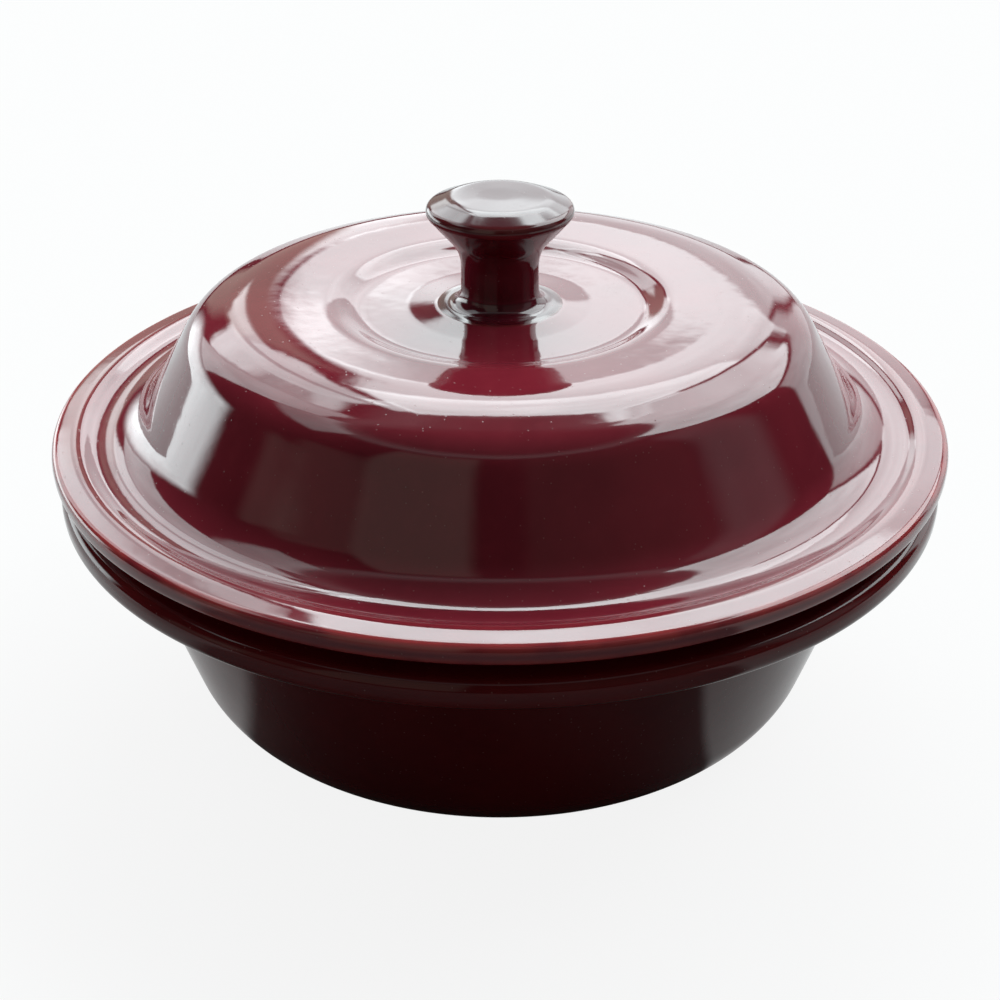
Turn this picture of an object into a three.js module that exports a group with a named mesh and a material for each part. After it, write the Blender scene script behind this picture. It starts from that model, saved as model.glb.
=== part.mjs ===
// A round stoneware dutch oven: a pot with a flanged rim, a domed lid with a wide brim, and the lid's knob.
// Millimetres, +Z up. The origin is on the table, under the middle of the pot's foot ring.

import * as THREE from 'three';

// Pot
const POT_HEIGHT = 88.4; // table to the seat that carries the lid
const MOUTH_RADIUS = 122.4; // inside of the rim, at the seat
const POT_TAPER = THREE.MathUtils.degToRad(18.35); // lean of the bowl's wall from upright
const POT_WALL = 7.5;
const POT_FLOOR = 7.5;
const POT_BASE_ROUND = 25.4; // outside, between wall and base
const POT_INNER_ROUND = 20; // inside, between wall and floor
const FOOT_RING_WIDTH = 7;
const FOOT_RING_RECESS = 2; // how far the base is hollowed inside the foot ring
const FOOT_RING_ROUND = 1;
const RIM_REACH = 21.2; // from the mouth out to the rim's edge
const RIM_THICKNESS = 9.4;
const RIM_DROP = 3.4; // how far the rim's edge lies below the seat
const RIM_EDGE_ROUND = 4.4;
const RIM_ROOT_ROUND = 4; // under the rim, where it grows out of the wall
const SEAT_WIDTH = 6; // flat ring on top of the rim
const SEAT_ROUND = 14; // seat easing into the rim's slope
const MOUTH_ROUND = 2.5;

// Lid
const SEAT_GAP = 0.3; // lid to seat
const LID_FIT = 2; // play of the locating ring in the mouth
const LOCATING_RING_DEPTH = 5;
const LOCATING_RING_WIDTH = 6;
const LOCATING_RING_ROUND = 1.5;
const BRIM_REACH = 22.6; // from the mouth out to the brim's edge
const BRIM_THICKNESS = 7;
const BRIM_RISE = 3.5; // how far the brim's edge turns up
const BRIM_EDGE_ROUND = 2.4;
const BEAD_WIDTH = 9; // raised roll along the brim's edge
const BEAD_FALL = 1.2; // from the roll's crest down to the edge
const BEAD_SLOPE = 4; // from the crest in to the gutter
const BEAD_HEIGHT = 1.8; // crest above the gutter beside it
const BEAD_ROUND = 8;
const DOME_INSET = 2.9; // foot of the dome inside the mouth's radius
const DOME_LEAN = THREE.MathUtils.degToRad(30); // lean of the dome's wall from upright
const DOME_HEIGHT = 42.5; // gutter to the top
const DOME_TOP_FALL = 0.8; // from the panel's edge out to the brow, where the top starts to bend down
const DOME_BROW_WIDTH = 14.5; // from the brow out to the shoulder
const DOME_BROW_FALL = 5; // from the brow down to the shoulder
const DOME_WALL = 7; // thickness of the dome's side and of its top under the panel
const DOME_FOOT_ROUND = 16;
const DOME_BROW_ROUND = 40;
const DOME_SHOULDER_ROUND = 16;
const DOME_INNER_ROUND = 11;
const PANEL_RADIUS = 53.5; // sunk panel in the top
const PANEL_DEPTH = 3.9;
const PANEL_SLOPE = 7; // width of the soft step around the panel
const PANEL_ROUND = 12;

// Knob
const KNOB_GAP = 0.3; // knob to the pad that it is luted on
const KNOB_PAD_HEIGHT = 0.7; // the panel swells a little under the knob
const KNOB_PAD_SPREAD = 9; // how far that swelling runs out past the knob's foot
const KNOB_HEIGHT = 35.7;
const KNOB_FOOT_RADIUS = 19.2;
const KNOB_FOOT_EDGE = 0.8;
const KNOB_FOOT_ROUND = 6.6;
const KNOB_STEM_RADIUS = 12.4;
const KNOB_CAP_RADIUS = 23.3;
const KNOB_CAP_EDGE = 2.4; // upright part of the cap's edge, before rounding
const KNOB_CAP_ROUND = 2.4; // top of the cap's edge
const KNOB_LIP_ROUND = 2.4; // underside of the cap's edge
const KNOB_CROWN = 3.4; // how far the cap's top falls away to its edge
const KNOB_CROWN_WIDTH = 7.6; // from the edge in to the level middle of the cap's top
const KNOB_CROWN_ROUND = 14;
const KNOB_FLARE = THREE.MathUtils.degToRad(48.6); // slope of the cap's underside
const KNOB_FLARE_ROUND = 13;

// Facets
const SIDES = 60; // around the pot and the lid
const KNOB_SIDES = 40;
const ARC_TOLERANCE = 0.1; // how far a rounding may lie from its true arc

// Glaze
const GLAZE = { roughness: 0.12, metalness: 0 };
const POT_COLOUR = 0x421019;
const LID_COLOUR = 0x561522;
const KNOB_COLOUR = 0x4c121e;

// A corner of a profile, with the radius that rounds it.
const corner = (radius, height, round = 0) => ({ point: new THREE.Vector2(radius, height), round });

// Half of the angle between the two sides that meet at a corner.
function halfAngle(before, at, after) {
  const back = before.point.clone().sub(at.point).normalize();
  const ahead = after.point.clone().sub(at.point).normalize();
  return Math.acos(THREE.MathUtils.clamp(back.dot(ahead), -1, 1)) / 2;
}

// How far each corner's rounding reaches along its sides. Two that share a short side share its length.
function roundingReaches(corners) {
  const wanted = corners.map((at, i) => {
    if (at.round === 0) return 0;
    return at.round / Math.tan(halfAngle(corners[i - 1], at, corners[i + 1]));
  });
  const room = (i, j) => {
    const length = corners[i].point.distanceTo(corners[j].point);
    return length / Math.max(length, wanted[i] + wanted[j]);
  };
  return wanted.map((reach, i) => (reach === 0 ? 0 : reach * Math.min(room(i - 1, i), room(i, i + 1))));
}

// Turns a list of corners into points, with each rounded corner replaced by a tangent arc.
function roundedProfile(corners) {
  const reaches = roundingReaches(corners);
  return corners.flatMap((at, i) => {
    if (reaches[i] === 0) return [at.point];
    const before = corners[i - 1];
    const after = corners[i + 1];
    const half = halfAngle(before, at, after);
    const round = reaches[i] * Math.tan(half);
    const start = before.point.clone().sub(at.point).setLength(reaches[i]).add(at.point);
    const end = after.point.clone().sub(at.point).setLength(reaches[i]).add(at.point);
    const middle = start.clone().add(end).multiplyScalar(0.5);
    const centre = middle.sub(at.point).setLength(round / Math.sin(half)).add(at.point);
    const turn = Math.PI - 2 * half;
    const step = 2 * Math.acos(1 - Math.min(1, ARC_TOLERANCE / round));
    const steps = Math.max(1, Math.ceil(turn / step));
    const side = start.clone().sub(centre).cross(end.clone().sub(centre));
    return Array.from({ length: steps + 1 }, (_, k) =>
      start.clone().rotateAround(centre, (Math.sign(side) * turn * k) / steps));
  });
}

// Revolves a profile, given from the axis below round to the axis above, about +Z.
function turned(name, corners, sides, colour) {
  const geometry = new THREE.LatheGeometry(roundedProfile(corners), sides);
  geometry.rotateX(Math.PI / 2);
  const material = new THREE.MeshStandardMaterial({ color: colour, ...GLAZE });
  const mesh = new THREE.Mesh(geometry, material);
  mesh.name = name;
  return mesh;
}

// The pot's profile: hollowed base, foot ring, bowl, rim and then the inside.
function makePot() {
  const wallAcross = POT_WALL / Math.cos(POT_TAPER);
  const insideAt = (height) => MOUTH_RADIUS - (POT_HEIGHT - height) * Math.tan(POT_TAPER);
  const outsideAt = (height) => insideAt(height) + wallAcross;
  const baseTurn = Math.PI / 2 - POT_TAPER;
  const footRadius = outsideAt(0) - POT_BASE_ROUND * Math.tan(baseTurn / 2);
  const ringInside = footRadius - FOOT_RING_WIDTH;
  const rimRadius = MOUTH_RADIUS + RIM_REACH;
  const rimTop = POT_HEIGHT - RIM_DROP;
  const rimUnder = rimTop - RIM_THICKNESS;
  const floor = FOOT_RING_RECESS + POT_FLOOR;
  return turned('pot', [
    corner(0, FOOT_RING_RECESS),
    corner(ringInside - FOOT_RING_RECESS, FOOT_RING_RECESS, FOOT_RING_ROUND),
    corner(ringInside, 0, FOOT_RING_ROUND),
    corner(outsideAt(0), 0, POT_BASE_ROUND),
    corner(outsideAt(rimUnder), rimUnder, RIM_ROOT_ROUND),
    corner(rimRadius, rimUnder, RIM_EDGE_ROUND),
    corner(rimRadius, rimTop, RIM_EDGE_ROUND),
    corner(MOUTH_RADIUS + SEAT_WIDTH, POT_HEIGHT, SEAT_ROUND),
    corner(MOUTH_RADIUS, POT_HEIGHT, MOUTH_ROUND),
    corner(insideAt(floor), floor, POT_INNER_ROUND),
    corner(0, floor),
  ], SIDES, POT_COLOUR);
}

// Heights that the lid and the knob share.
const lidSeat = POT_HEIGHT + SEAT_GAP;
const lidGutter = lidSeat + BRIM_THICKNESS;
const lidTop = lidGutter + DOME_HEIGHT;
const panelFloor = lidTop - PANEL_DEPTH;
const knobPad = panelFloor + KNOB_PAD_HEIGHT;

// The lid's profile: the hollow underneath, locating ring, brim, dome, sunk panel and the knob's pad.
function makeLid() {
  const ceiling = panelFloor - DOME_WALL;
  const brow = lidTop - DOME_TOP_FALL;
  const shoulder = brow - DOME_BROW_FALL;
  const domeAt = (height) => MOUTH_RADIUS - DOME_INSET - (height - lidGutter) * Math.tan(DOME_LEAN);
  const ringOutside = MOUTH_RADIUS - LID_FIT;
  const ringInside = ringOutside - LOCATING_RING_WIDTH;
  const ringUnder = lidSeat - LOCATING_RING_DEPTH;
  const brimRadius = MOUTH_RADIUS + BRIM_REACH;
  const brimUnder = lidSeat + BRIM_RISE;
  const brimTop = brimUnder + BRIM_THICKNESS;
  const padRadius = KNOB_FOOT_RADIUS + KNOB_PAD_HEIGHT;
  return turned('lid', [
    corner(0, ceiling),
    corner(domeAt(ceiling) - DOME_WALL / Math.cos(DOME_LEAN), ceiling, DOME_INNER_ROUND),
    corner(ringInside, ringUnder, LOCATING_RING_ROUND),
    corner(ringOutside, ringUnder, LOCATING_RING_ROUND),
    corner(ringOutside, lidSeat, LOCATING_RING_ROUND),
    corner(MOUTH_RADIUS + SEAT_WIDTH, lidSeat, SEAT_ROUND),
    corner(brimRadius, brimUnder, BRIM_EDGE_ROUND),
    corner(brimRadius, brimTop - BEAD_FALL, BRIM_EDGE_ROUND),
    corner(brimRadius - BEAD_WIDTH, brimTop, BEAD_ROUND),
    corner(brimRadius - BEAD_WIDTH - BEAD_SLOPE, brimTop - BEAD_HEIGHT, BEAD_ROUND),
    corner(domeAt(lidGutter), lidGutter, DOME_FOOT_ROUND),
    corner(domeAt(shoulder), shoulder, DOME_SHOULDER_ROUND),
    corner(domeAt(shoulder) - DOME_BROW_WIDTH, brow, DOME_BROW_ROUND),
    corner(PANEL_RADIUS, lidTop, PANEL_ROUND),
    corner(PANEL_RADIUS - PANEL_SLOPE, panelFloor, PANEL_ROUND),
    corner(padRadius + KNOB_PAD_SPREAD, panelFloor),
    corner(padRadius, knobPad),
    corner(0, knobPad),
  ], SIDES, LID_COLOUR);
}

// The knob's profile: foot, waisted stem, flared underside and crowned cap.
function makeKnob() {
  const under = knobPad + KNOB_GAP;
  const top = under + KNOB_HEIGHT;
  const capTop = top - KNOB_CROWN;
  const capUnder = capTop - KNOB_CAP_EDGE;
  const footTop = under + KNOB_FOOT_EDGE;
  const flareFall = (KNOB_CAP_RADIUS - KNOB_STEM_RADIUS) * Math.tan(KNOB_FLARE);
  return turned('knob', [
    corner(0, under),
    corner(KNOB_FOOT_RADIUS, under),
    corner(KNOB_FOOT_RADIUS, footTop),
    corner(KNOB_STEM_RADIUS, footTop, KNOB_FOOT_ROUND),
    corner(KNOB_STEM_RADIUS, capUnder - flareFall, KNOB_FLARE_ROUND),
    corner(KNOB_CAP_RADIUS, capUnder, KNOB_LIP_ROUND),
    corner(KNOB_CAP_RADIUS, capTop, KNOB_CAP_ROUND),
    corner(KNOB_CAP_RADIUS - KNOB_CROWN_WIDTH, top, KNOB_CROWN_ROUND),
    corner(0, top),
  ], KNOB_SIDES, KNOB_COLOUR);
}

const dutchOven = new THREE.Group();
const lidAssembly = new THREE.Group();
lidAssembly.add(makeLid(), makeKnob());
dutchOven.add(makePot(), lidAssembly);

export default dutchOven;
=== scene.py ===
import math

import bpy
import numpy as np
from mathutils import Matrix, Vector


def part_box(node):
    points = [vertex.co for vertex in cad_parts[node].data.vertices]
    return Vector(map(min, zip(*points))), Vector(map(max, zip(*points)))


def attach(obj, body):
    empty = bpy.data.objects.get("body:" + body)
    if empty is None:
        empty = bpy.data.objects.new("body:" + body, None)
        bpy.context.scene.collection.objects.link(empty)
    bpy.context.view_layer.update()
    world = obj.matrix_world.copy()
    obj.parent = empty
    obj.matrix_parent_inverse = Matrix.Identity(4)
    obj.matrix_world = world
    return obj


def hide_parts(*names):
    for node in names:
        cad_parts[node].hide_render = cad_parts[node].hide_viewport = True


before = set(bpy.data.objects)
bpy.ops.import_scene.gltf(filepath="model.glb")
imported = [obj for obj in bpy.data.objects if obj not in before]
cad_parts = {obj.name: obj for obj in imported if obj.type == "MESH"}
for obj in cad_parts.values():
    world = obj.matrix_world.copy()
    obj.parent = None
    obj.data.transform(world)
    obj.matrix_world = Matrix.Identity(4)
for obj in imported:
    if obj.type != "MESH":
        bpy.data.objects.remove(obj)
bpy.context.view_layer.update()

MM = 0.001

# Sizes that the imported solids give, in metres
(_, _, _), (RIM_RADIUS, _, POT_HEIGHT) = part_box("pot")
(_, _, RING_UNDER), (BRIM_RADIUS, _, _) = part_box("lid")
(_, _, _), (KNOB_CAP_RADIUS, _, KNOB_TOP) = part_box("knob")

# Pot
RIM_REACH = 21.2 * MM
RIM_THICKNESS = 9.4 * MM
RIM_DROP = 3.4 * MM
RIM_EDGE_ROUND = 4.4 * MM
RIM_ROOT_ROUND = 4 * MM
SEAT_WIDTH = 6 * MM
SEAT_ROUND = 14 * MM
MOUTH_RADIUS = RIM_RADIUS - RIM_REACH
MOUTH_ROUND = 2.5 * MM
POT_TAPER = math.radians(18.35)
POT_WALL = 7.5 * MM
POT_FLOOR = 7.5 * MM
POT_BASE_ROUND = 25.4 * MM
POT_INNER_ROUND = 20 * MM
FOOT_RING_WIDTH = 7 * MM
FOOT_RING_RECESS = 2 * MM
FOOT_RING_ROUND = 1 * MM

# Lid
RING_DEPTH = 5 * MM
RING_WIDTH = 6 * MM
RING_PLAY = 2 * MM
RING_ROUND = 1.5 * MM
LID_SEAT = RING_UNDER + RING_DEPTH
BRIM_THICKNESS = 7 * MM
BRIM_RISE = 3.5 * MM
BRIM_EDGE_ROUND = 2.4 * MM
BEAD_WIDTH = 9 * MM
BEAD_FALL = 1.2 * MM
BEAD_SLOPE = 4 * MM
BEAD_HEIGHT = 1.8 * MM
BEAD_ROUND = 8 * MM
GUTTER = LID_SEAT + BRIM_THICKNESS
DOME_HEIGHT = 42.5 * MM
DOME_INSET = 2.9 * MM
DOME_LEAN = math.radians(30)
DOME_WALL = 7 * MM
DOME_FOOT_ROUND = 16 * MM
DOME_SHOULDER_ROUND = 16 * MM
DOME_BROW_WIDTH = 14.5 * MM
DOME_BROW_FALL = 5 * MM
DOME_BROW_ROUND = 40 * MM
DOME_TOP_FALL = 0.8 * MM
DOME_INNER_ROUND = 11 * MM
LID_TOP = GUTTER + DOME_HEIGHT
CREST_RADIUS = 75 * MM  # the top dips slightly from this ring in to the panel
CREST_FALL = 0.1 * MM
CREST_ROUND = 100 * MM
PANEL_RADIUS = 53.5 * MM
PANEL_EDGE_FALL = 1.1 * MM
PANEL_EDGE_ROUND = 18 * MM
PANEL_DEPTH = 3.9 * MM
PANEL_SLOPE = 7 * MM
PANEL_ROUND = 12 * MM
PANEL_FLOOR = LID_TOP - PANEL_DEPTH
PAD_HEIGHT = 0.7 * MM
PAD_SPREAD = 9 * MM
PAD_FOOT_ROUND = 20 * MM
PAD_ROUND = 4 * MM
KNOB_PAD = PANEL_FLOOR + PAD_HEIGHT

# Knob
KNOB_FOOT = 19.2 * MM
KNOB_FOOT_EDGE = 0.45 * MM
KNOB_FOOT_RUN = 1.2 * MM  # glaze that has run out round the foot
KNOB_FOOT_STEP = 1.6 * MM
KNOB_FOOT_ROUND = 6 * MM
KNOB_FOOT_SINK = 0.1 * MM
KNOB_STEM = 12.4 * MM
KNOB_STEM_ROUND = 6.6 * MM
KNOB_FLARE = math.radians(48.6)
KNOB_FLARE_ROUND = 13 * MM
KNOB_CAP_EDGE = 2.4 * MM
KNOB_CAP_ROUND = 2.4 * MM
KNOB_CROWN = 3.4 * MM
KNOB_CROWN_WIDTH = 7.3 * MM
KNOB_CROWN_ROUND = 11 * MM
KNOB_CROWN_FALL = 0.45 * MM  # from the middle of the cap's top out to where it bends down
KNOB_MIDDLE = 6 * MM
KNOB_MIDDLE_ROUND = 90 * MM
KNOB_MIDDLE_FALL = 0.05 * MM

# Meshes
POT_SIDES = 224
LID_SIDES = 224
KNOB_SIDES = 144
GLAZE_SOFTENING = 0.5 * MM  # how far the glaze blurs the turned profile
KNOB_SOFTENING = 0.35 * MM
PROFILE_STEP = 0.05 * MM
ARC_STEPS = 32
FACET_TURN = math.radians(3.2)
FACET_LONGEST = 4 * MM
FACET_SHORTEST = 0.22 * MM
EDGE_RADII = (12.5 * MM, 3 * MM)  # outside bends: where the glaze starts to thin, where it is thinnest
POOL_RADII = (33 * MM, 6.7 * MM)  # inside bends: where it starts to pool, where it is thickest

# Glaze
# The pot wears the lid's glaze painted darker: painted shade, since its bowl faces away from the light
POT_SHADED_COLOUR = (0.13, 0.006, 0.009)
LID_COLOUR = (0.215, 0.017, 0.03)
# The knob wears the lid's glaze painted darker: painted shade, since its stem lies under its cap
KNOB_SHADED_COLOUR = (0.09, 0.0045, 0.011)
DEEP = (0.88, 0.84, 0.86)  # shades of a glaze, as shares of its red, green and blue
PALE = (1.1, 1.14, 1.1)
MILKY = (1.22, 1.45, 1.3)
WORN = (1.8, 1.9, 1.4)
POOLED = (1.25, 1.7, 1.6)
CLAY_SHOWING = (0.03, 0.015, 0.008)  # what the clay adds where the glaze is worn thin
MILKY_SHARE = 0.22
POOLED_SHARE = 0.6
MATT = 0.045
MATT_SPREAD = 0.03
DRIFT_SIZE = 45 * MM
MOTTLE_SIZE = 6 * MM
THIN_PATCH_SIZE = 13 * MM
SPECK_SPACING = 2.1 * MM
SPECK_COLOUR = (0.46, 0.25, 0.24)
SPECK_SHARE = 0.25
SPECK_MATT = 0.12
SPECK_EDGE = (0.15, 0.06)  # of a cell, from its middle: where a speck starts, and where it is full
BARE_CELLS = 0.6  # share of the cells that hold no speck
LUMP_SIZE = 21 * MM
DIMPLE_SIZE = 5 * MM
WHEEL_RING_SIZE = 11 * MM
RIPPLE_DEPTH = 0.4 * MM
DIMPLE_SHARE = 0.16
WHEEL_RING_SHARE = 0.5
SPECK_BUMP_SHARE = 0.2
GLAZE_IOR = 1.68
CLAY_DARK = (0.40, 0.28, 0.19)
CLAY_LIGHT = (0.60, 0.47, 0.35)
CLAY_MATT = 0.85
CLAY_GRAIN = 1.1 * MM
CLAY_GRAIN_DEPTH = 0.3 * MM
CLAY_GRAIN_STRENGTH = 0.4
BARE_HEIGHT = 1.1 * MM  # the foot is wiped clean of glaze up to about here
BARE_WANDER = 1.6 * MM
BARE_WANDER_SIZE = 17 * MM
BARE_INSIDE = 3 * MM
BARE_OUTSIDE = 6 * MM
BARE_FADE_UP = 0.5 * MM
BARE_FADE_INSIDE = 0.6 * MM
BARE_FADE_OUTSIDE = 1 * MM

# Floor
FLOOR_REACH = 4.0
FLOOR_LEVEL = -0.2 * MM
FLOOR_DIM = -0.12  # how far in front of the object the painted shade in the floor's reflections is darkest
FLOOR_PALE = 0.06  # and where it is as pale as it gets
# Painted shade: the floor's grey in reflections in front of the object
PAINTED_SHADE_FLOOR = 0.14
PALE_FLOOR = 0.92
BOUNCING_FLOOR = 0.15  # for the light that it throws back on the object
FLOOR_GLOW = 0.9  # share of the floor's colour that no shadow reaches, for the camera
PAINTED_SIDE_GLOW = 0.4  # and as painted light, seen only in reflections, to the left and right of the pot
GLOW_LEFT = (54, 62)  # degrees round the pot from its front where that starts, and where it is full
GLOW_RIGHT = (42, 46)
GLOW_BEHIND = (0.2, 0.1)  # how far behind the axis it ends, and up to where it is full
WHITE = 0.98

# Light, in degrees of bearing and rise; bearing 0 is straight behind the object, and right is positive
LEAN_LEVEL = 40.0  # the rise at which a leaning side of a window has its stated bearing
CLOUD_SIZE = 0.2  # the windows' light is uneven, in patches of this size
CLOUD_LEAST = 0.65
CLOUD_SPREAD = 0.7
CEILING_START = (54, 60)
CEILING_FADE = (68, 58)
CEILING_LEAST = 0.04
CEILING_SPREAD = 0.32
DIM_ROOM = 0.02
WINDOW_TINT = (0.89, 0.985, 1.0)
WARM_TINT = (0.86, 0.84, 0.72)

# Camera, in brim radii from the middle of the lid's gutter
CAMERA_BACK = 3.7
CAMERA_UP = 1.796
CAMERA_DIP = math.radians(28.666)
SENSOR_WIDTH = 36.0
FOCAL_LENGTH = 64.8


def pot_profile():
    """Corners of the pot, (radius, height, rounding), from the axis below to the axis inside."""
    across = POT_WALL / math.cos(POT_TAPER)

    def inside(height):
        return MOUTH_RADIUS - (POT_HEIGHT - height) * math.tan(POT_TAPER)

    def outside(height):
        return inside(height) + across

    foot = outside(0) - POT_BASE_ROUND * math.tan((math.pi / 2 - POT_TAPER) / 2)
    ring = foot - FOOT_RING_WIDTH
    rim_top = POT_HEIGHT - RIM_DROP
    rim_under = rim_top - RIM_THICKNESS
    floor = FOOT_RING_RECESS + POT_FLOOR
    corners = [
        (0, FOOT_RING_RECESS, 0),
        (ring - FOOT_RING_RECESS, FOOT_RING_RECESS, FOOT_RING_ROUND),
        (ring, 0, FOOT_RING_ROUND),
        (outside(0), 0, POT_BASE_ROUND),
        (outside(rim_under), rim_under, RIM_ROOT_ROUND),
        (RIM_RADIUS, rim_under, RIM_EDGE_ROUND),
        (RIM_RADIUS, rim_top, RIM_EDGE_ROUND),
        (MOUTH_RADIUS + SEAT_WIDTH, POT_HEIGHT, SEAT_ROUND),
        (MOUTH_RADIUS, POT_HEIGHT, MOUTH_ROUND),
        (inside(floor), floor, POT_INNER_ROUND),
        (0, floor, 0),
    ]
    return corners, (ring, foot)


def lid_profile():
    """Corners of the lid, from the axis under the dome to the axis on top."""
    ceiling = PANEL_FLOOR - DOME_WALL
    brow = LID_TOP - DOME_TOP_FALL
    shoulder = brow - DOME_BROW_FALL
    ring_out = MOUTH_RADIUS - RING_PLAY
    brim_under = LID_SEAT + BRIM_RISE
    brim_top = brim_under + BRIM_THICKNESS
    pad = KNOB_FOOT + PAD_HEIGHT

    def dome(height):
        return MOUTH_RADIUS - DOME_INSET - (height - GUTTER) * math.tan(DOME_LEAN)

    return [
        (0, ceiling, 0),
        (dome(ceiling) - DOME_WALL / math.cos(DOME_LEAN), ceiling, DOME_INNER_ROUND),
        (ring_out - RING_WIDTH, RING_UNDER, RING_ROUND),
        (ring_out, RING_UNDER, RING_ROUND),
        (ring_out, LID_SEAT, RING_ROUND),
        (MOUTH_RADIUS + SEAT_WIDTH, LID_SEAT, SEAT_ROUND),
        (BRIM_RADIUS, brim_under, BRIM_EDGE_ROUND),
        (BRIM_RADIUS, brim_top - BEAD_FALL, BRIM_EDGE_ROUND),
        (BRIM_RADIUS - BEAD_WIDTH, brim_top, BEAD_ROUND),
        (BRIM_RADIUS - BEAD_WIDTH - BEAD_SLOPE, brim_top - BEAD_HEIGHT, BEAD_ROUND),
        (dome(GUTTER), GUTTER, DOME_FOOT_ROUND),
        (dome(shoulder), shoulder, DOME_SHOULDER_ROUND),
        (dome(shoulder) - DOME_BROW_WIDTH, brow, DOME_BROW_ROUND),
        (CREST_RADIUS, LID_TOP - CREST_FALL, CREST_ROUND),
        (PANEL_RADIUS, LID_TOP - PANEL_EDGE_FALL, PANEL_EDGE_ROUND),
        (PANEL_RADIUS - PANEL_SLOPE, PANEL_FLOOR, PANEL_ROUND),
        (pad + PAD_SPREAD, PANEL_FLOOR, PAD_FOOT_ROUND),
        (pad, KNOB_PAD, PAD_ROUND),
        (0, KNOB_PAD, 0),
    ]


def knob_profile():
    """Corners of the knob, from the axis in its foot to the axis on its cap."""
    under = KNOB_PAD - KNOB_FOOT_SINK
    foot_top = KNOB_PAD + KNOB_FOOT_EDGE
    cap_top = KNOB_TOP - KNOB_CROWN
    cap_under = cap_top - KNOB_CAP_EDGE
    flare_fall = (KNOB_CAP_RADIUS - KNOB_STEM) * math.tan(KNOB_FLARE)
    return [
        (0, under, 0),
        (KNOB_FOOT + KNOB_FOOT_RUN, under, 0),
        (KNOB_FOOT - KNOB_FOOT_STEP, foot_top, KNOB_FOOT_ROUND),
        (KNOB_STEM, foot_top, KNOB_STEM_ROUND),
        (KNOB_STEM, cap_under - flare_fall, KNOB_FLARE_ROUND),
        (KNOB_CAP_RADIUS, cap_under, KNOB_CAP_ROUND),
        (KNOB_CAP_RADIUS, cap_top, KNOB_CAP_ROUND),
        (KNOB_CAP_RADIUS - KNOB_CROWN_WIDTH, KNOB_TOP - KNOB_CROWN_FALL, KNOB_CROWN_ROUND),
        (KNOB_MIDDLE, KNOB_TOP - KNOB_MIDDLE_FALL, KNOB_MIDDLE_ROUND),
        (0, KNOB_TOP, 0),
    ]


def rounded(corners):
    """The profile as a fine polyline, each rounded corner a tangent arc that fits its sides."""
    points = np.array([c[:2] for c in corners], float)
    count = len(corners)
    half = np.zeros(count)
    wanted = np.zeros(count)
    sides = [None] * count
    for i, (_, _, round_) in enumerate(corners):
        if round_ == 0:
            continue
        back = points[i - 1] - points[i]
        ahead = points[i + 1] - points[i]
        back /= np.linalg.norm(back)
        ahead /= np.linalg.norm(ahead)
        sides[i] = (back, ahead)
        half[i] = math.acos(np.clip(back @ ahead, -1, 1)) / 2
        wanted[i] = round_ / math.tan(half[i])

    def room(i, j):
        length = np.linalg.norm(points[i] - points[j])
        return length / max(length, wanted[i] + wanted[j])

    line = []
    for i, at in enumerate(points):
        if sides[i] is None:
            line.append(at)
            continue
        back, ahead = sides[i]
        reach = wanted[i] * min(room(i - 1, i), room(i, i + 1))
        radius = reach * math.tan(half[i])
        middle = back + ahead
        centre = at + middle / np.linalg.norm(middle) * radius / math.sin(half[i])
        start = at + back * reach - centre
        end = at + ahead * reach - centre
        turn = math.atan2(start[0] * end[1] - start[1] * end[0], start @ end)
        first = math.atan2(start[1], start[0])
        for step in np.linspace(0, 1, ARC_STEPS + 1):
            angle = first + turn * step
            line.append(centre + radius * np.array([math.cos(angle), math.sin(angle)]))
    return np.array(line)


def soften(values, sigma, step, mirror):
    """Gaussian blur along the profile; its ends run on over the axis as mirror images."""
    reach = int(4 * sigma / step) + 1
    kernel = np.exp(-0.5 * (np.arange(-reach, reach + 1) * step / sigma) ** 2)
    kernel /= kernel.sum()
    before = values[reach:0:-1] * mirror
    after = values[-2:-reach - 2:-1] * mirror
    return np.convolve(np.concatenate([before, values, after]), kernel, "valid")


def fired_profile(corners, sigma):
    """A profile softened as glaze softens it: points, normals and bend, spaced by how it bends."""
    line = rounded(corners)
    run = np.concatenate([[0], np.cumsum(np.hypot(*np.diff(line, axis=0).T))])
    along = np.linspace(0, run[-1], int(run[-1] / PROFILE_STEP) + 1)
    step = along[1]
    radius = soften(np.interp(along, run, line[:, 0]), sigma, step, -1)
    height = soften(np.interp(along, run, line[:, 1]), sigma, step, 1)
    radius[0] = radius[-1] = 0
    slope_r = np.gradient(radius, step)
    slope_z = np.gradient(height, step)
    length = np.hypot(slope_r, slope_z)
    normal = np.stack([slope_z / length, -slope_r / length], 1)
    normal[0] = (0, np.sign(normal[0, 1]))
    normal[-1] = (0, np.sign(normal[-1, 1]))
    heading = np.unwrap(np.arctan2(slope_z, slope_r))
    bend = soften(np.gradient(heading, step), GLAZE_SOFTENING, step, 1)
    density = np.clip(np.abs(bend) / FACET_TURN, 1 / FACET_LONGEST, 1 / FACET_SHORTEST)
    density = soften(density, 2 * GLAZE_SOFTENING, step, 1)
    total = np.concatenate([[0], np.cumsum((density[1:] + density[:-1]) / 2 * step)])
    picks = np.interp(np.linspace(0, total[-1], int(total[-1]) + 2), total, np.arange(len(along)))
    picks = np.unique(np.round(picks).astype(int))
    return radius[picks], height[picks], normal[picks], bend[picks]


def bend_share(bend, radii):
    """0 where the surface bends more gently than the first radius, and 1 from the second on."""
    gentle, tight = radii
    return np.clip((bend - 1 / gentle) / (1 / tight - 1 / gentle), 0, 1).astype(np.float32)


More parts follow.
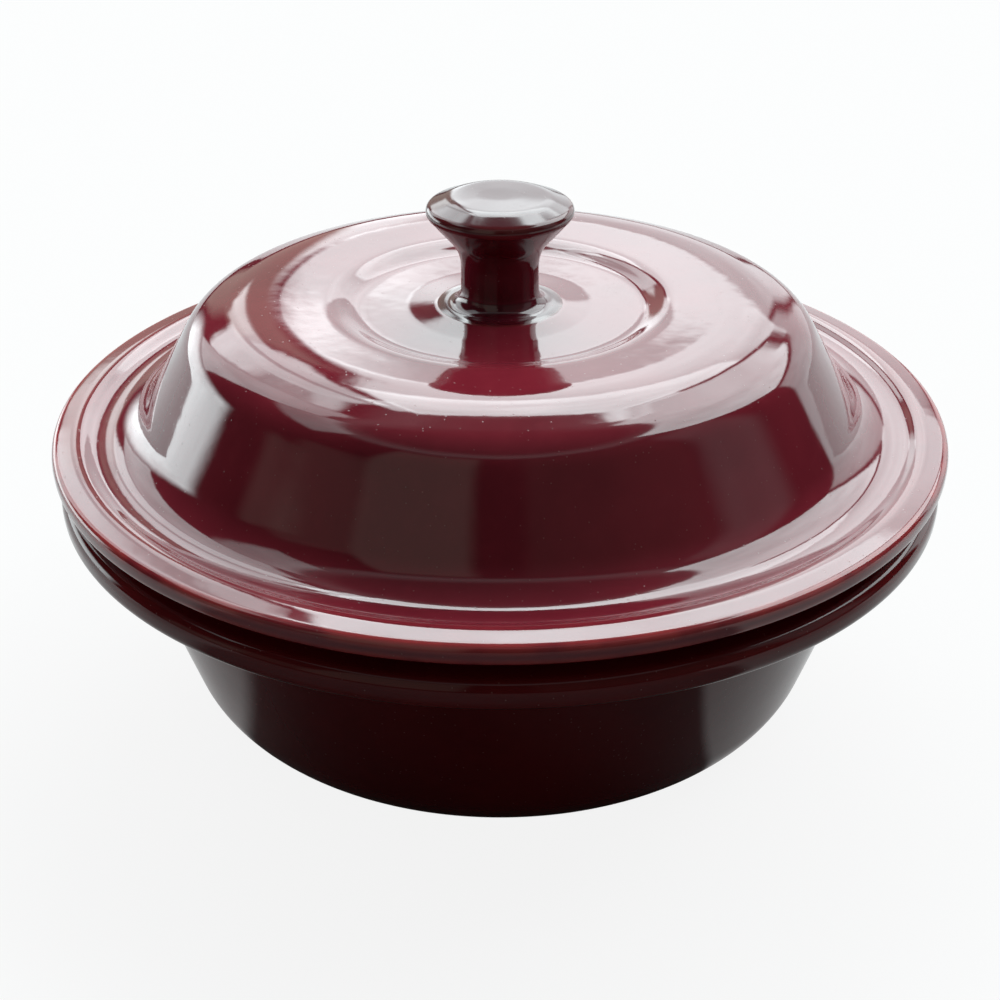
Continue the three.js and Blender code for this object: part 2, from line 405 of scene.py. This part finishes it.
def turned(name, corners, sides, sigma):
    """A closed piece turned about the axis, with the true normals of its profile."""
    radius, height, normal, bend = fired_profile(corners, sigma)
    inner = np.arange(1, len(radius) - 1)
    angle = np.arange(sides) * 2 * math.pi / sides
    cos, sin = np.cos(angle), np.sin(angle)

    def spin(across, up):
        upright = np.repeat(up[:, None], sides, 1)
        return np.stack([np.outer(across, cos), np.outer(across, sin), upright], -1).reshape(-1, 3)

    ends = [0, -1]
    end_verts = [[0, 0, height[end]] for end in ends]
    end_normals = [[0, 0, normal[end, 1]] for end in ends]
    verts = np.concatenate([spin(radius[inner], height[inner]), end_verts])
    normals = np.concatenate([spin(normal[inner, 0], normal[inner, 1]), end_normals])
    bends = np.concatenate([np.repeat(bend[inner], sides), bend[ends]])
    first, last = len(verts) - 2, len(verts) - 1
    column = np.arange(sides)
    beside = (column + 1) % sides
    faces = []
    for row in range(len(inner) - 1):
        low, high = row * sides, (row + 1) * sides
        faces += np.stack([low + column, low + beside, high + beside, high + column], 1).tolist()
    top = (len(inner) - 1) * sides
    for a, b in zip(column.tolist(), beside.tolist()):
        faces += [[first, b, a], [last, top + a, top + b]]
    mesh = bpy.data.meshes.new(name)
    mesh.from_pydata(verts.tolist(), [], faces)
    mesh.shade_smooth()
    mesh.normals_split_custom_set_from_vertices(normals.tolist())
    for label, share in (("edge", bend_share(bends, EDGE_RADII)), ("pool", bend_share(-bends, POOL_RADII))):
        attribute = mesh.attributes.new(label, "FLOAT", "POINT")
        attribute.data.foreach_set("value", share)
    piece = bpy.data.objects.new(name, mesh)
    bpy.context.scene.collection.objects.link(piece)
    return piece


class Nodes:
    """Short ways to add and join shader nodes."""

    def __init__(self, tree):
        self.tree = tree
        tree.nodes.clear()

    def add(self, kind, **settings):
        node = self.tree.nodes.new(kind)
        for key, value in settings.items():
            setattr(node, key, value)
        return node

    def put(self, socket, value):
        if isinstance(value, bpy.types.NodeSocket):
            self.tree.links.new(value, socket)
        else:
            socket.default_value = value

    def math(self, operation, a, b=0.0, c=0.0):
        node = self.add("ShaderNodeMath", operation=operation)
        for socket, value in zip(node.inputs, (a, b, c)):
            self.put(socket, value)
        return node.outputs[0]

    def ramp(self, value, low, high):
        """0 at low and 1 at high, easing in and out."""
        node = self.add("ShaderNodeMapRange", interpolation_type="SMOOTHSTEP")
        self.put(node.inputs["Value"], value)
        self.put(node.inputs["From Min"], low)
        self.put(node.inputs["From Max"], high)
        return node.outputs["Result"]

    def mix(self, factor, a, b):
        node = self.add("ShaderNodeMix", data_type="RGBA")
        self.put(node.inputs["Factor"], factor)
        self.put(node.inputs["A"], a)
        self.put(node.inputs["B"], b)
        return node.outputs["Result"]

    def blend(self, factor, a, b):
        """Mixes two shaders."""
        node = self.add("ShaderNodeMixShader")
        self.put(node.inputs["Fac"], factor)
        self.put(node.inputs[1], a)
        self.put(node.inputs[2], b)
        return node.outputs["Shader"]

    def split(self, vector):
        node = self.add("ShaderNodeSeparateXYZ")
        self.put(node.inputs["Vector"], vector)
        return node.outputs

    def noise(self, vector, size, detail=2.0, rough=0.5):
        """Noise whose lumps are about this size across."""
        node = self.add("ShaderNodeTexNoise")
        self.put(node.inputs["Vector"], vector)
        self.put(node.inputs["Scale"], 1 / size)
        self.put(node.inputs["Detail"], detail)
        self.put(node.inputs["Roughness"], rough)
        return node.outputs["Fac"]

    def bump(self, height, strength, distance):
        node = self.add("ShaderNodeBump")
        self.put(node.inputs["Strength"], strength)
        self.put(node.inputs["Distance"], distance)
        self.put(node.inputs["Height"], height)
        return node.outputs["Normal"]

    def attribute(self, name):
        return self.add("ShaderNodeAttribute", attribute_name=name).outputs["Fac"]

    def finish(self, kind, surface):
        self.put(self.add(kind).inputs["Surface"], surface)


def rgb(r, g, b):
    return (r, g, b, 1.0)


def grey(level):
    return rgb(level, level, level)


def shade(colour, shares, added=(0, 0, 0)):
    """A shade of a colour, channel by channel."""
    return rgb(*(part * share + more for part, share, more in zip(colour, shares, added)))


def bare_clay(n, place):
    """Fired clay without glaze."""
    grain = n.noise(place, CLAY_GRAIN, 4.0, 0.65)
    colour = n.mix(n.ramp(grain, 0.3, 0.7), rgb(*CLAY_DARK), rgb(*CLAY_LIGHT))
    clay = n.add("ShaderNodeBsdfPrincipled")
    clay.inputs["Roughness"].default_value = CLAY_MATT
    n.put(clay.inputs["Base Color"], colour)
    n.put(clay.inputs["Normal"], n.bump(grain, CLAY_GRAIN_STRENGTH, CLAY_GRAIN_DEPTH))
    return clay.outputs["BSDF"]


def glaze(name, colour, specular, ripple, thinning, matt=MATT, foot=None):
    """Glossy burgundy glaze over stoneware; bare clay where foot gives the ring it stands on."""
    material = bpy.data.materials.new(name)
    material.use_nodes = True
    n = Nodes(material.node_tree)
    place = n.add("ShaderNodeTexCoord").outputs["Object"]
    x, y, z = n.split(place)
    radius = n.math("SQRT", n.math("ADD", n.math("MULTIPLY", x, x), n.math("MULTIPLY", y, y)))

    # Uneven thickness: broad drifts, thinner on edges, milkier where it pools in hollows
    deep = shade(colour, DEEP)
    pale = shade(colour, PALE)
    milky = shade(colour, MILKY)
    worn = shade(colour, WORN, CLAY_SHOWING)
    pooled = shade(colour, POOLED)
    mottle = n.noise(place, MOTTLE_SIZE, 3.0, 0.6)
    thin = n.math("MULTIPLY", n.attribute("edge"), n.ramp(n.noise(place, THIN_PATCH_SIZE), 0.15, 0.6))
    tone = n.mix(n.ramp(n.noise(place, DRIFT_SIZE, 3.0, 0.55), 0.32, 0.68), deep, pale)
    tone = n.mix(n.math("MULTIPLY", n.ramp(mottle, 0.45, 0.75), MILKY_SHARE), tone, milky)
    tone = n.mix(n.math("MULTIPLY", thin, thinning), tone, worn)
    tone = n.mix(n.math("MULTIPLY", n.attribute("pool"), POOLED_SHARE), tone, pooled)

    # Fine pale specks in the glaze
    cells = n.add("ShaderNodeTexVoronoi", feature="F1")
    n.put(cells.inputs["Vector"], place)
    n.put(cells.inputs["Scale"], 1 / SPECK_SPACING)
    chance = n.add("ShaderNodeSeparateColor")
    n.put(chance.inputs["Color"], cells.outputs["Color"])
    dot = n.ramp(cells.outputs["Distance"], *SPECK_EDGE)
    speck = n.math("MULTIPLY", dot, n.math("GREATER_THAN", chance.outputs["Red"], BARE_CELLS))
    tone = n.mix(n.math("MULTIPLY", speck, SPECK_SHARE), tone, rgb(*SPECK_COLOUR))

    rough = n.math("MULTIPLY_ADD", n.ramp(mottle, 0.3, 0.8), MATT_SPREAD, matt)
    rough = n.math("MULTIPLY_ADD", speck, SPECK_MATT, rough)

    # The surface ripples very slightly, in lumps as glaze sets and in rings from the wheel
    section = n.add("ShaderNodeCombineXYZ")
    n.put(section.inputs["X"], radius)
    n.put(section.inputs["Y"], z)
    rings = n.noise(section.outputs["Vector"], WHEEL_RING_SIZE, 1.0)
    dimples = n.noise(place, DIMPLE_SIZE, 1.0)
    waves = n.math("MULTIPLY_ADD", dimples, DIMPLE_SHARE, n.noise(place, LUMP_SIZE))
    waves = n.math("MULTIPLY_ADD", rings, WHEEL_RING_SHARE, waves)
    waves = n.math("MULTIPLY_ADD", speck, SPECK_BUMP_SHARE, waves)

    shader = n.add("ShaderNodeBsdfPrincipled")
    shader.inputs["IOR"].default_value = GLAZE_IOR
    shader.inputs["Specular IOR Level"].default_value = specular
    n.put(shader.inputs["Base Color"], tone)
    n.put(shader.inputs["Roughness"], rough)
    n.put(shader.inputs["Normal"], n.bump(waves, ripple, RIPPLE_DEPTH))
    surface = shader.outputs["BSDF"]

    if foot:
        inner, outer = foot
        inner -= BARE_INSIDE
        outer += BARE_OUTSIDE
        wander = n.math("MULTIPLY_ADD", n.noise(place, BARE_WANDER_SIZE), BARE_WANDER, -BARE_WANDER / 2)
        low = n.ramp(n.math("ADD", z, wander), BARE_HEIGHT + BARE_FADE_UP, BARE_HEIGHT)
        within = n.ramp(radius, inner, inner + BARE_FADE_INSIDE)
        without = n.ramp(radius, outer + BARE_FADE_OUTSIDE, outer)
        bare = n.math("MULTIPLY", low, n.math("MULTIPLY", within, without))
        surface = n.blend(bare, surface, bare_clay(n, place))

    n.finish("ShaderNodeOutputMaterial", surface)
    return material


def dress(piece, body, node, material):
    """Puts a piece on its body in place of its CAD node."""
    piece.data.materials.append(material)
    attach(piece, body)
    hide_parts(node)


def floor_paper():
    """White to the camera but for the object's shadow.

    In reflections it is painted darker in front of the object, as painted shade, and paler behind it; at
    its two sides it glows there as painted light.
    """
    material = bpy.data.materials.new("floor_paper")
    material.use_nodes = True
    n = Nodes(material.node_tree)
    path = n.add("ShaderNodeLightPath").outputs
    by_camera = path["Is Camera Ray"]
    mirrored = n.math("MAXIMUM", path["Is Glossy Ray"], path["Is Transmission Ray"])
    x, y, _ = n.split(n.add("ShaderNodeTexCoord").outputs["Object"])
    # Painted shade: in reflections the floor is darker in front of the object
    painted_shade_in_mirror = n.mix(n.ramp(y, FLOOR_DIM, FLOOR_PALE), grey(PAINTED_SHADE_FLOOR), grey(PALE_FLOOR))
    tone = n.mix(mirrored, grey(BOUNCING_FLOOR), painted_shade_in_mirror)
    matt = n.add("ShaderNodeBsdfDiffuse")
    n.put(matt.inputs["Color"], n.mix(by_camera, tone, grey(PALE_FLOOR)))
    glow = n.add("ShaderNodeEmission")
    glow.inputs["Strength"].default_value = WHITE
    # Painted light: in reflections only, the floor glows at the pot's two sides
    around = n.math("DEGREES", n.math("ARCTAN2", x, n.math("MULTIPLY", y, -1.0)))
    to_left = n.ramp(n.math("MULTIPLY", around, -1.0), *GLOW_LEFT)
    to_right = n.ramp(around, *GLOW_RIGHT)
    aside = n.math("MULTIPLY", n.math("ADD", to_left, to_right), n.ramp(y, *GLOW_BEHIND))
    side_share = n.math("MULTIPLY", n.math("MULTIPLY", mirrored, aside), PAINTED_SIDE_GLOW)
    share = n.math("MULTIPLY_ADD", by_camera, FLOOR_GLOW, side_share)
    surface = n.blend(share, matt.outputs["BSDF"], glow.outputs["Emission"])
    n.finish("ShaderNodeOutputMaterial", surface)
    return material


def lay_floor():
    mesh = bpy.data.meshes.new("floor")
    ways = [(-1, -1), (1, -1), (1, 1), (-1, 1)]
    corners = [(x * FLOOR_REACH, y * FLOOR_REACH, FLOOR_LEVEL) for x, y in ways]
    mesh.from_pydata(corners, [], [(0, 1, 2, 3)])
    mesh.materials.append(floor_paper())
    floor = bpy.data.objects.new("floor", mesh)
    bpy.context.scene.collection.objects.link(floor)


def light_room():
    """A soft room, bright through wide windows behind the object and dim in front of it."""
    world = bpy.data.worlds.new("studio")
    bpy.context.scene.world = world
    world.use_nodes = True
    n = Nodes(world.node_tree)
    direction = n.add("ShaderNodeTexCoord").outputs["Generated"]
    x, y, z = n.split(direction)
    bearing = n.math("DEGREES", n.math("ARCTAN2", x, y))
    rise = n.math("DEGREES", n.math("ARCSINE", z))

    def pane(left, right, low, high, strength, soft=1.0, lean_left=0.0, lean_right=0.0):
        """A bright field between two bearings and two rises, with soft edges.

        A lean slants a side by so many degrees for each degree of rise.
        """
        above = n.math("SUBTRACT", rise, LEAN_LEVEL)
        from_left = n.ramp(n.math("MULTIPLY_ADD", above, -lean_left, bearing), left - soft, left + soft)
        from_right = n.ramp(n.math("MULTIPLY_ADD", above, -lean_right, bearing), right + soft, right - soft)
        from_low = n.ramp(rise, low - soft, low + soft)
        from_high = n.ramp(rise, high + soft, high - soft)
        across = n.math("MULTIPLY", from_left, from_right)
        up = n.math("MULTIPLY", from_low, from_high)
        return n.math("MULTIPLY", n.math("MULTIPLY", across, up), strength)

    def total(fields):
        light = 0.0
        for field in fields:
            light = n.math("ADD", field, light)
        return light

    windows = total([
        pane(left=-11.5, right=26, low=34, high=59, strength=6.9, soft=0.8, lean_left=-0.35),
        pane(left=-12.2, right=26, low=26, high=34, strength=3.8, soft=0.8, lean_left=-0.5),
        pane(left=-5.1, right=26, low=21, high=26, strength=3.8, soft=0.8),
        pane(left=-2.7, right=21, low=0, high=21, strength=2.0, soft=1.2),
        pane(left=-7.3, right=-2.7, low=4, high=21.6, strength=3.3, soft=1.2),
        pane(left=-19.2, right=-13.7, low=28, high=52.5, strength=3.7, soft=0.8, lean_right=-0.35),
        pane(left=-19.2, right=-13.8, low=16.5, high=28, strength=2.9, soft=1.2),
        pane(left=-22, right=-19.2, low=18, high=52.5, strength=2.2),
        pane(left=-31, right=-22, low=22, high=52.5, strength=4.0),
        pane(left=-16, right=-10.8, low=47, high=57, strength=5.0, lean_left=-0.35, lean_right=-0.35),
        pane(left=-50, right=-31.5, low=16, high=56, strength=2.4),
        pane(left=-94, right=-50.5, low=46, high=60, strength=1.2, soft=2.0),
        pane(left=28, right=77, low=24, high=61, strength=4.4, soft=0.8, lean_right=1.05),
        pane(left=25.6, right=28.4, low=47, high=58, strength=5.0),
        pane(left=23, right=60, low=-2, high=21.5, strength=1.7, soft=1.2),
        pane(left=-74, right=-28, low=-6, high=14, strength=4.4, soft=4.0),
        pane(left=82, right=108, low=6, high=52, strength=0.25, soft=5.0),
    ])
    clouds = n.math("MULTIPLY_ADD", n.noise(direction, CLOUD_SIZE, 3.0, 0.6), CLOUD_SPREAD, CLOUD_LEAST)
    ceiling_glow = n.math("MULTIPLY_ADD", n.ramp(rise, *CEILING_FADE), CEILING_SPREAD, CEILING_LEAST)
    ceiling = n.math("MULTIPLY", n.ramp(rise, *CEILING_START), ceiling_glow)
    white_light = total([n.math("MULTIPLY", windows, clouds), ceiling, DIM_ROOM])
    warm_light = total([
        pane(left=-23, right=-7, low=2, high=27, strength=0.65, soft=1.5),
        pane(left=-171, right=-133, low=6, high=54, strength=0.27, soft=3.0),
        pane(left=-133, right=-106, low=6, high=30, strength=0.13, soft=4.0),
        pane(left=-117, right=-95, low=2, high=20, strength=0.2, soft=3.0),
        pane(left=112, right=171, low=6, high=54, strength=0.05, soft=3.0),
    ])
    light = n.math("ADD", white_light, warm_light)
    tint = n.mix(n.math("DIVIDE", warm_light, light), rgb(*WINDOW_TINT), rgb(*WARM_TINT))

    # The camera sees plain white in place of the room
    by_camera = n.add("ShaderNodeLightPath").outputs["Is Camera Ray"]
    strength = n.math("MULTIPLY_ADD", by_camera, n.math("SUBTRACT", WHITE, light), light)
    sky = n.add("ShaderNodeBackground")
    n.put(sky.inputs["Color"], n.mix(by_camera, tint, grey(1.0)))
    n.put(sky.inputs["Strength"], strength)
    n.finish("ShaderNodeOutputWorld", sky.outputs["Background"])


def place_camera():
    """Puts the camera where the photograph was taken from."""
    lens = bpy.data.cameras.new("camera")
    lens.sensor_width = SENSOR_WIDTH
    lens.lens = FOCAL_LENGTH
    camera = bpy.data.objects.new("camera", lens)
    camera.location = (0.0, -CAMERA_BACK * BRIM_RADIUS, GUTTER + CAMERA_UP * BRIM_RADIUS)
    camera.rotation_euler = (math.pi / 2 - CAMERA_DIP, 0.0, 0.0)
    bpy.context.scene.collection.objects.link(camera)
    bpy.context.scene.camera = camera


pot_corners, foot_ring = pot_profile()
pot = turned("pot_body", pot_corners, POT_SIDES, GLAZE_SOFTENING)
lid = turned("lid_body", lid_profile(), LID_SIDES, GLAZE_SOFTENING)
knob = turned("lid_knob", knob_profile(), KNOB_SIDES, KNOB_SOFTENING)
# The pot's colour is painted shade: the lid's glaze, darkened
pot_glaze = glaze("pot_glaze", POT_SHADED_COLOUR, specular=0.25, ripple=0.16, thinning=0.25, foot=foot_ring)
lid_glaze = glaze("lid_glaze", LID_COLOUR, specular=0.5, ripple=0.2, thinning=1.0)
# The knob's colour is painted shade: the lid's glaze, darkened
knob_glaze = glaze("knob_glaze", KNOB_SHADED_COLOUR, specular=0.5, ripple=0.07, thinning=0.6, matt=0.1)
dress(pot, "pot", "pot", pot_glaze)
dress(lid, "lid", "lid", lid_glaze)
dress(knob, "lid", "knob", knob_glaze)
lay_floor()
light_room()
place_camera()
bpy.context.scene.view_settings.view_transform = "Standard"
